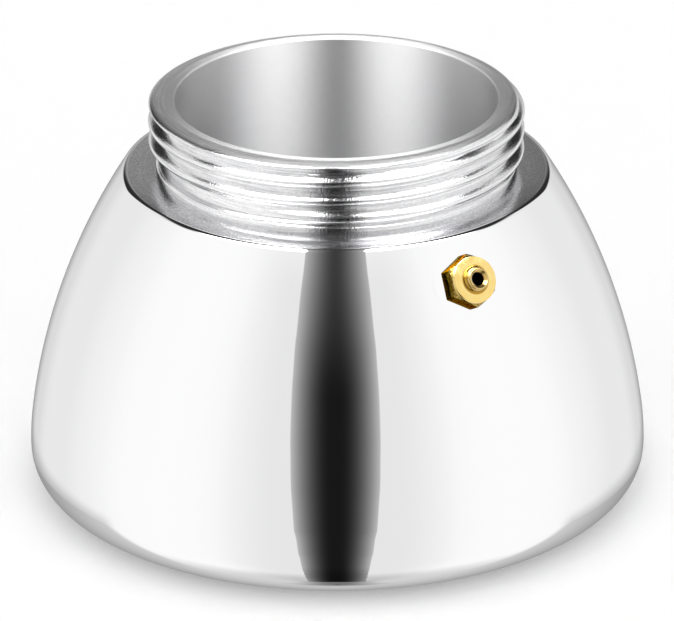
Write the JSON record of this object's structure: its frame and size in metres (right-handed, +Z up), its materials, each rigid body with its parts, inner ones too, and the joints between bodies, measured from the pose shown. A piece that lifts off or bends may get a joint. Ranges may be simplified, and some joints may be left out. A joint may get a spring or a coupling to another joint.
{
  "type": "moka pot boiler",
  "caption": "Round bell-shaped steel boiler of a moka pot, with a flat ledge, a screw neck with a sealing rim, a layered base and a spring-loaded brass safety valve.",
  "frame": {"origin": "centre of the foot ring, on the surface that the boiler stands on", "axes": "+Z up along the axis of the neck; -Y towards the safety valve"},
  "size_m": [0.116, 0.116, 0.0762],
  "materials": {
    "polished_steel": "mirror polished stainless steel",
    "turned_steel": "turned stainless steel, bright",
    "satin_steel": "satin stainless steel",
    "aluminium": "plain pressed aluminium",
    "brass": "turned brass, bright",
    "washer": "matt fibre-filled sealing washer",
    "silicone": "matt silicone",
    "spring_steel": "drawn spring wire"
  },
  "bodies": {
    "boiler": {"boiler_shell": "polished_steel", "neck_collar": "turned_steel", "water_floor": "satin_steel", "heat_disc": "aluminium", "base_cap": "satin_steel", "valve_body": "brass", "valve_washer": "washer", "valve_lock_nut": "brass", "valve_seat_plug": "brass", "valve_spring": "spring_steel"},
    "valve_poppet": {"poppet": "turned_steel", "poppet_seal": "silicone"}
  },
  "joints": [
    {"name": "poppet_lift", "type": "slide", "parent": "boiler", "child": "valve_poppet", "axis": [0, -0.8783, 0.4782], "range_m": [0, 0.0012], "stiffness_N_per_m": 600, "springref_m": -0.0016, "deforming": ["valve_spring"]}
  ]
}
